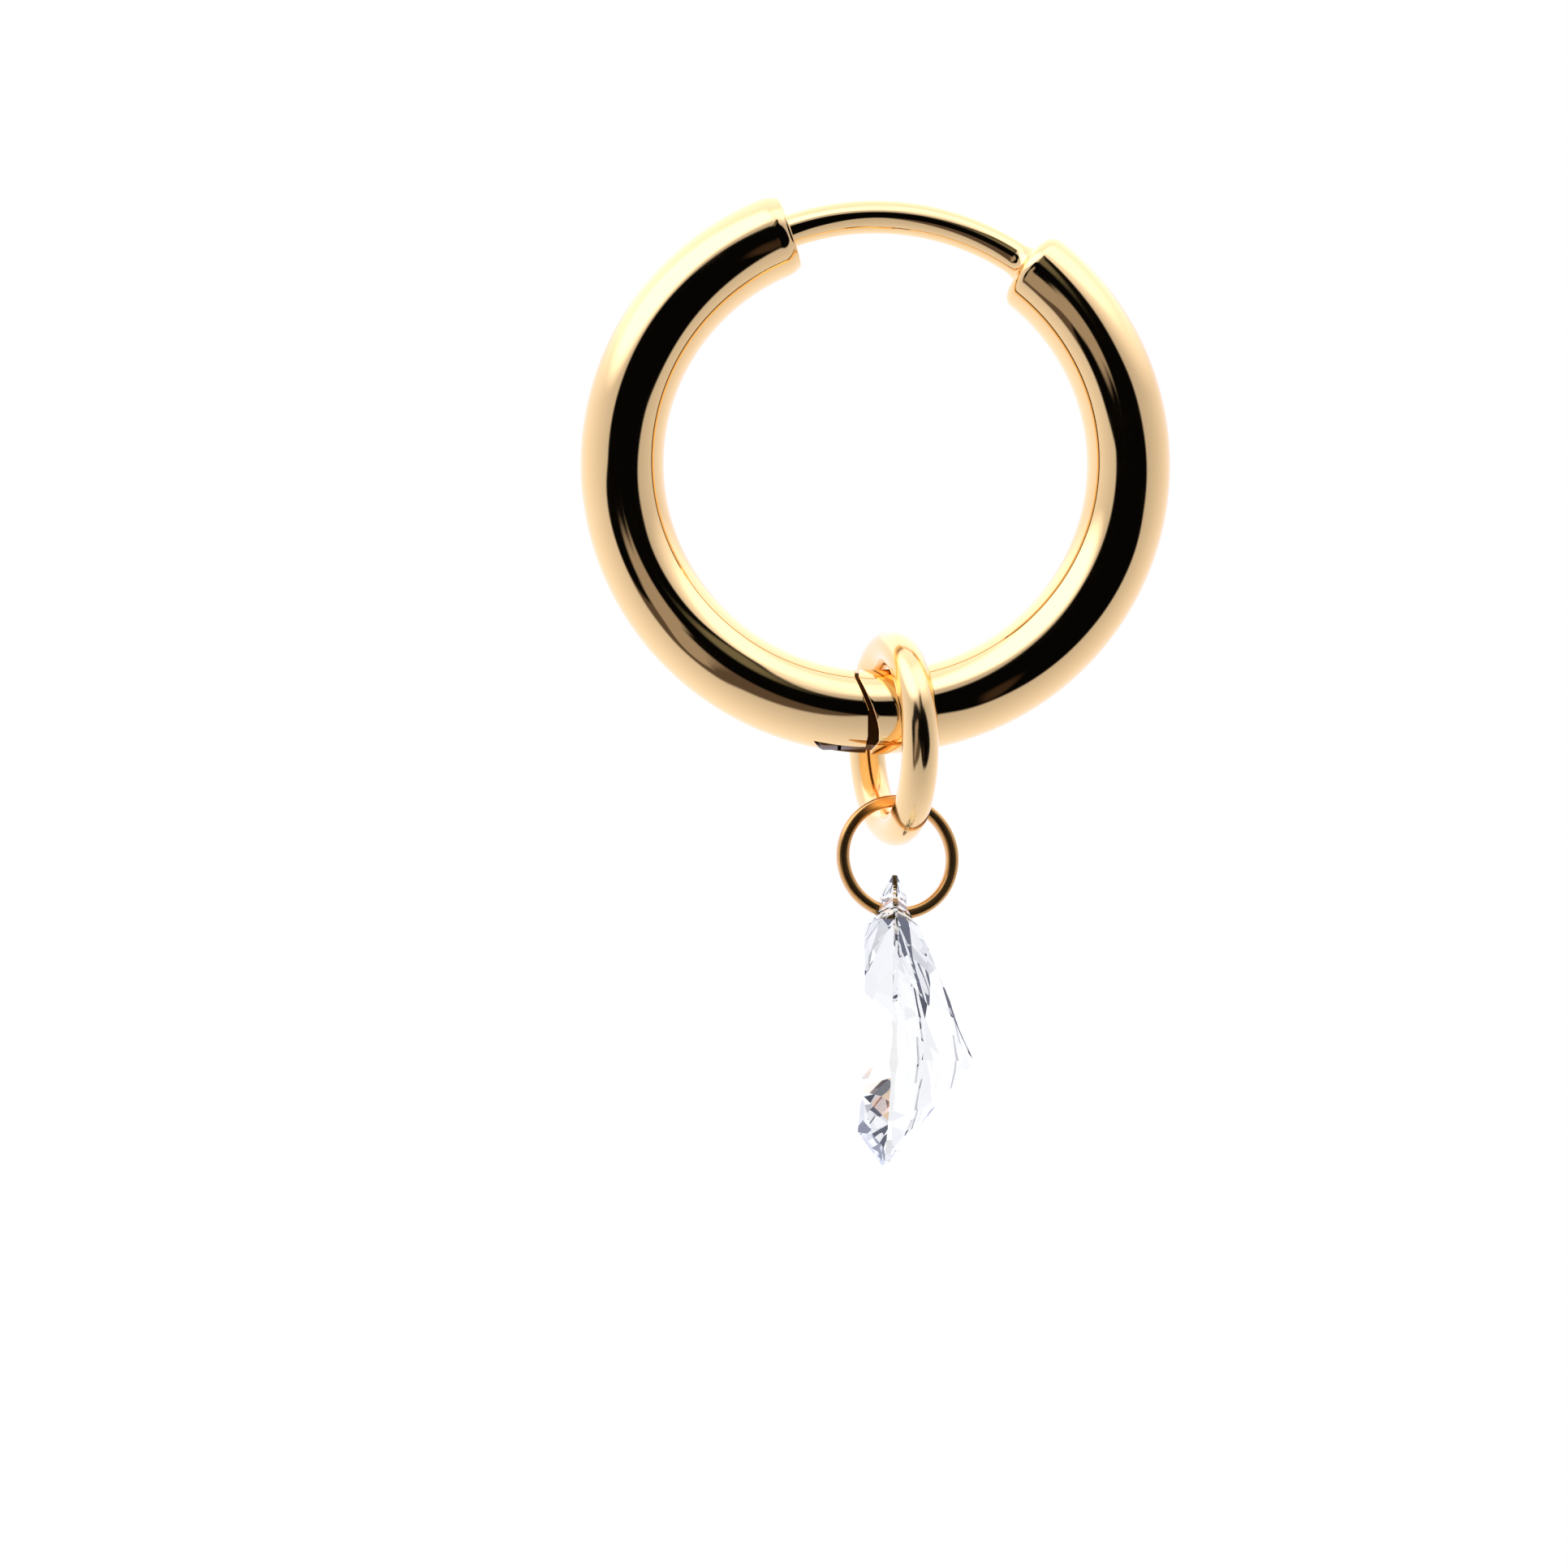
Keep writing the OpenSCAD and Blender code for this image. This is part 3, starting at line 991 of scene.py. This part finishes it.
@dataclass
class Studio:
    """The surroundings, the floor and the camera."""

    lens_mm: float = 130.4
    sensor_mm: float = 36.0
    camera_at: tuple[float, float, float] = (-1.666, -131.641, -35.186)
    camera_az: float = 0.216
    camera_el: float = -9.264
    clip_m: tuple[float, float] = (0.001, 20.0)
    floor_z: float = -90.0
    floor_half: float = 3000.0
    floor_colour: str = "#F6F6F6"
    floor_rough: float = 0.9
    room_level: float = 0.82
    room_slope: tuple[float, float, float] = (-0.08, 0.30, 0.0)
    room_top: float = 0.45
    top_from: float = 0.4
    top_to: float = 0.65
    daylight: tuple[float, float, float] = (1.0, 1.06, 1.36)
    clear_white: tuple[float, float, float] = (1.05, 1.05, 1.05)
    clear_share: float = 0.64
    left_light: Glow = Glow(across=-45, up=46, half_w=50, half_h=18, tilt=0, soft=0.3, colour="#FFFFFF", level=2.0)
    right_light: Glow = Glow(across=45, up=55, half_w=50, half_h=14, tilt=-5, soft=0.4, colour="#FFFFFF", level=1.7)
    brown_side: Shade = Shade(
        across=0, up=13, soft=3.5, colour="#FFE4D0", level=0.1,
        edge=((186, 34), (200, 55), (214, 62), (222, 65), (238, 55), (258, 44), (285, 22), (0, 5), (90, 4)))
    dark_front: Shade = Shade(
        across=0, up=13, soft=3.0, colour="#FFFFFF", level=0.002,
        edge=((-75, 48), (-58, 62), (-33, 69), (-9, 54), (12, 38), (33, 29), (49, 33), (62, 22), (76, 9), (95, 6),
              (125, 13), (154, 26), (180, 37), (202, 56), (214, 42), (228, 26), (262, 30)))
    tan_wedge: Shade = Shade(
        across=-25, up=-6, soft=2.5, colour="#FFF4E8", level=0.36,
        edge=((-45, 9), (12, 9), (43, 20), (60, 13), (85, 11), (131, 9), (172, 8), (216, 14), (232, 26), (247, 22),
              (265, 14)))
    olive_streak: Glow = Glow(across=10.5, up=26, half_w=10.5, half_h=3, tilt=52, soft=0.4, colour="#E8E8C8",
                              level=0.2)
    brown_streak: Glow = Glow(across=22, up=-25, half_w=12, half_h=3, tilt=-60, soft=0.5, colour="#FFD0B0",
                              level=0.04)

    def surroundings(self) -> None:
        """Paints what the metal mirrors: a pale room, with lights high in front and dark shapes ahead.

        The room gives all the studio's light, from every side, so it is soft. The direction's angle across is the
        arc tangent of x over -y, and its angle up is the arc sine of z. The room's level is a sum of x, y and z
        times its slope, plus a smooth step of z near the top. Each shape is then mixed in by its share. What the
        metal mirrors has the cool tint of daylight, what shows through the stone is paler, as a bright backdrop
        makes it, and the backdrop itself is plain white.
        """
        world = bpy.data.worlds.new("studio surroundings")
        world.use_nodes = True
        bpy.context.scene.world = world
        tree = world.node_tree
        tree.nodes.clear()
        place = add_node(tree, "ShaderNodeTexCoord")
        split = add_node(tree, "ShaderNodeSeparateXYZ", None, {0: place.outputs["Generated"]})
        front = add_node(tree, "ShaderNodeMath", {"operation": "MULTIPLY"}, {0: split.outputs["Y"], 1: -1.0})
        across = add_node(tree, "ShaderNodeMath", {"operation": "ARCTAN2"},
                          {0: split.outputs["X"], 1: front.outputs[0]})
        up = add_node(tree, "ShaderNodeMath", {"operation": "ARCSINE"}, {0: split.outputs["Z"]})
        angles = add_node(tree, "ShaderNodeCombineXYZ", None, {"X": across.outputs[0], "Y": up.outputs[0]})
        slope = add_node(tree, "ShaderNodeVectorMath", {"operation": "DOT_PRODUCT"},
                         {0: place.outputs["Generated"], 1: self.room_slope})
        height = add_node(tree, "ShaderNodeMapRange", {"interpolation_type": "SMOOTHSTEP"},
                          {"Value": split.outputs["Z"], "From Min": self.top_from, "From Max": self.top_to,
                           "To Min": self.room_level, "To Max": self.room_level + self.room_top})
        room = add_node(tree, "ShaderNodeMath", {"operation": "ADD"},
                        {0: slope.outputs["Value"], 1: height.outputs["Result"]})
        colour = room.outputs[0]
        for shape in (self.left_light, self.right_light, self.brown_side, self.dark_front, self.tan_wedge,
                      self.olive_streak, self.brown_streak):
            mixed = add_node(tree, "ShaderNodeMix", {"data_type": "RGBA"},
                             {"Factor": shape.share(tree, angles.outputs[0]), 6: colour,
                              7: linear(shape.colour, shape.level)})
            colour = mixed.outputs[2]
        ray = add_node(tree, "ShaderNodeLightPath")
        cool = add_node(tree, "ShaderNodeVectorMath", {"operation": "MULTIPLY"}, {0: colour, 1: self.daylight})
        pale = add_node(tree, "ShaderNodeMix", {"data_type": "RGBA"},
                        {"Factor": self.clear_share, 6: colour, 7: (*self.clear_white, 1.0)})
        clear = add_node(tree, "ShaderNodeMath", {"operation": "MAXIMUM"},
                         {0: ray.outputs["Is Transmission Ray"], 1: ray.outputs["Is Diffuse Ray"]})
        seen = add_node(tree, "ShaderNodeMix", {"data_type": "RGBA"},
                        {"Factor": clear.outputs[0], 6: cool.outputs[0], 7: pale.outputs[2]})
        shown = add_node(tree, "ShaderNodeMix", {"data_type": "RGBA"},
                         {"Factor": ray.outputs["Is Camera Ray"], 6: seen.outputs[2], 7: (1.0, 1.0, 1.0, 1.0)})
        light = add_node(tree, "ShaderNodeBackground", None, {"Color": shown.outputs[2]})
        add_node(tree, "ShaderNodeOutputWorld", None, {"Surface": light.outputs[0]})

    def floor(self) -> bpy.types.Object:
        """Lays a pale matt floor far below, which shows in neither the metal nor the stone.

        Returns:
            The floor.
        """
        half = self.floor_half
        corners = np.array([[-half, -half, self.floor_z], [half, -half, self.floor_z],
                            [half, half, self.floor_z], [-half, half, self.floor_z]]) * MM
        mesh = bpy.data.meshes.new("floor")
        mesh.from_pydata(corners, [], [[0, 1, 2, 3]])
        floor = bpy.data.objects.new("floor", mesh)
        bpy.context.scene.collection.objects.link(floor)
        paint = bpy.data.materials.new("matt white board")
        paint.use_nodes = True
        shader = paint.node_tree.nodes["Principled BSDF"]
        shader.inputs["Base Color"].default_value = linear(self.floor_colour)
        shader.inputs["Roughness"].default_value = self.floor_rough
        mesh.materials.append(paint)
        floor.visible_glossy = False
        floor.visible_transmission = False
        return floor

    def camera(self) -> bpy.types.Object:
        """Sets the camera, which looks a little upwards at the hoop's front.

        Its direction is (minus sine az cosine el, cosine az cosine el, minus sine el).

        Returns:
            The camera.
        """
        data = bpy.data.cameras.new("camera")
        data.lens, data.sensor_width = self.lens_mm, self.sensor_mm
        data.clip_start, data.clip_end = self.clip_m
        thing = bpy.data.objects.new("camera", data)
        bpy.context.scene.collection.objects.link(thing)
        az, el = np.radians(self.camera_az), np.radians(self.camera_el)
        look = Vector((-np.sin(az) * np.cos(el), np.cos(az) * np.cos(el), -np.sin(el)))
        thing.location = Vector(self.camera_at) * MM
        thing.rotation_euler = look.to_track_quat("-Z", "Y").to_euler()
        bpy.context.scene.camera = thing
        return thing

    def build(self) -> None:
        """Sets up the studio. Standard view keeps the whites white."""
        bpy.context.scene.view_settings.view_transform = "Standard"
        self.surroundings()
        self.floor()
        self.camera()
        LOG.info("studio: camera at %s mm", self.camera_at)


def main() -> None:
    """Builds the studio and every piece, in the order that the earring is put together."""
    logging.basicConfig(level=logging.INFO, format="%(name)s: %(message)s")
    Studio().build()
    gold = PolishedGold().material()
    # Tumbling leaves thick wire a softer mirror than the tube, with wider highlights.
    wire = PolishedGold("gold filled brass wire, tumbled", shine_low=0.1, shine_high=0.16).material()
    # The drawing die leaves thin wire satin, so it blurs what it mirrors to a brown line between pale rims.
    thin = PolishedGold("thin gold filled brass wire, satin from the die", colour="#E0A860",
                        shine_low=0.22, shine_high=0.27).material()
    # Painted shade: the tongue's gold is darkened to stand in for the shade deep in the narrow seam and slot, so
    # they look nearly black. No buff reaches it, so it is left rough.
    dark = PolishedGold("gold darkened as painted shade in the seam", colour="#6B4A26",
                        shine_low=0.4, shine_high=0.5).material()
    crystal = CutCrystal().material()
    RightHalf().build(gold, dark)
    LeftHalf().build(gold)
    HingePin().build(gold)
    WireRing("charm_link_wire", "charm_link", "link", middle=(0.4, 0.0, -12.62913), outside=5.1, wire=0.86,
             facing=Facing.SIDE, yaw=16.0, lean=4.0).build(wire)
    WireRing("drop_ring_wire", "drop_ring", "ring", middle=(0.5, 0.0, -15.45413), outside=2.95, wire=0.29,
             facing=Facing.FRONT, yaw=15.0, squareness=3.0).build(thin)
    PearStone().build(crystal)


if __name__ == "__main__":
    main()
